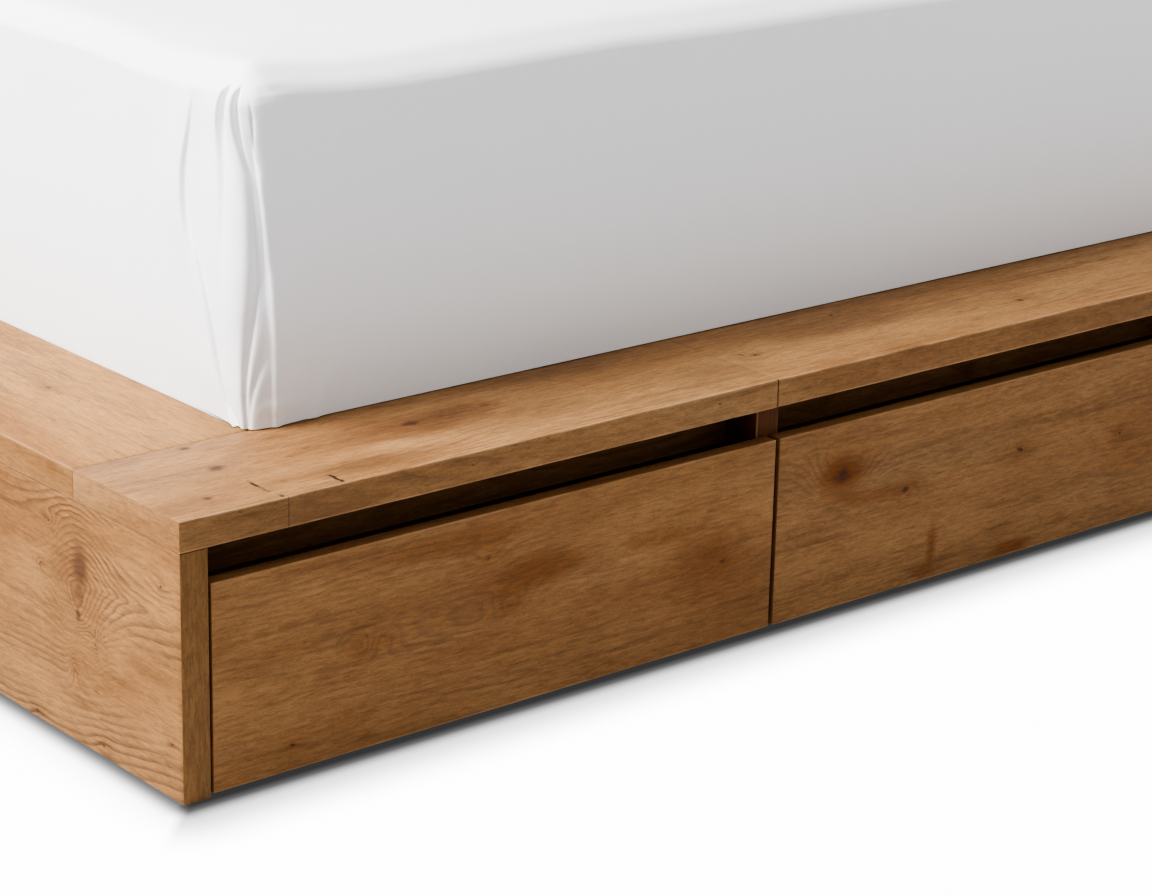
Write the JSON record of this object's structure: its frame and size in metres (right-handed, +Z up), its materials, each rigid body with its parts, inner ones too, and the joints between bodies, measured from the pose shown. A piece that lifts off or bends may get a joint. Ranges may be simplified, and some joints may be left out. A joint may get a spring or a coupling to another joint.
{
  "type": "platform bed with storage drawers",
  "caption": "Low plank platform bed with a wide flat ledge, storage drawers along both long sides and a thick mattress in a fitted sheet.",
  "frame": {"origin": "centre of the bounding box's bottom face: on the floor, under the middle of the bed", "axes": "+X from the foot to the head, along the drawer sides; +Y across the bed; +Z up"},
  "size_m": [2.355, 1.92, 0.66],
  "materials": {
    "oak": "golden-tan rustic oak boards with knots, satin oil",
    "box_wood": "pale plywood, clear matt lacquer",
    "runner_wood": "hardwood strip, waxed",
    "slat_wood": "bare planed softwood",
    "white_cotton": "white cotton sateen, matt"
  },
  "bodies": {
    "frame": {"foot_panel": "oak", "head_panel": "oak", "rail_left": "oak", "rail_right": "oak", "cleat_left": "slat_wood", "cleat_right": "slat_wood", "centre_beam": "slat_wood", "divider_1": "oak", "divider_2": "oak", "ledge_left_1": "oak", "ledge_left_2": "oak", "ledge_left_3": "oak", "ledge_right_1": "oak", "ledge_right_2": "oak", "ledge_right_3": "oak", "ledge_foot": "oak", "ledge_head": "oak", "runner_1": "runner_wood", "runner_2": "runner_wood", "runner_3": "runner_wood", "runner_4": "runner_wood", "runner_5": "runner_wood", "runner_6": "runner_wood", "slat_roll": "slat_wood"},
    "drawer_left_1": {"drawer_left_1_front": "oak", "drawer_left_1_side_left": "box_wood", "drawer_left_1_side_right": "box_wood", "drawer_left_1_back": "box_wood", "drawer_left_1_floor": "box_wood"},
    "drawer_left_2": {"drawer_left_2_front": "oak", "drawer_left_2_side_left": "box_wood", "drawer_left_2_side_right": "box_wood", "drawer_left_2_back": "box_wood", "drawer_left_2_floor": "box_wood"},
    "drawer_left_3": {"drawer_left_3_front": "oak", "drawer_left_3_side_left": "box_wood", "drawer_left_3_side_right": "box_wood", "drawer_left_3_back": "box_wood", "drawer_left_3_floor": "box_wood"},
    "drawer_right_1": {"drawer_right_1_front": "oak", "drawer_right_1_side_left": "box_wood", "drawer_right_1_side_right": "box_wood", "drawer_right_1_back": "box_wood", "drawer_right_1_floor": "box_wood"},
    "drawer_right_2": {"drawer_right_2_front": "oak", "drawer_right_2_side_left": "box_wood", "drawer_right_2_side_right": "box_wood", "drawer_right_2_back": "box_wood", "drawer_right_2_floor": "box_wood"},
    "drawer_right_3": {"drawer_right_3_front": "oak", "drawer_right_3_side_left": "box_wood", "drawer_right_3_side_right": "box_wood", "drawer_right_3_back": "box_wood", "drawer_right_3_floor": "box_wood"},
    "mattress": {"mattress": "white_cotton"}
  },
  "joints": [
    {"name": "drawer_left_1_slide", "type": "slide", "parent": "frame", "child": "drawer_left_1", "axis": [0, -1, 0], "range_m": [0, 0.5]},
    {"name": "drawer_left_2_slide", "type": "slide", "parent": "frame", "child": "drawer_left_2", "axis": [0, -1, 0], "range_m": [0, 0.5]},
    {"name": "drawer_left_3_slide", "type": "slide", "parent": "frame", "child": "drawer_left_3", "axis": [0, -1, 0], "range_m": [0, 0.5]},
    {"name": "drawer_right_1_slide", "type": "slide", "parent": "frame", "child": "drawer_right_1", "axis": [0, 1, 0], "range_m": [0, 0.5]},
    {"name": "drawer_right_2_slide", "type": "slide", "parent": "frame", "child": "drawer_right_2", "axis": [0, 1, 0], "range_m": [0, 0.5]},
    {"name": "drawer_right_3_slide", "type": "slide", "parent": "frame", "child": "drawer_right_3", "axis": [0, 1, 0], "range_m": [0, 0.5]},
    {"name": "mattress_lift", "type": "slide", "parent": "frame", "child": "mattress", "axis": [0, 0, 1], "range_m": [0, 0.45]}
  ]
}
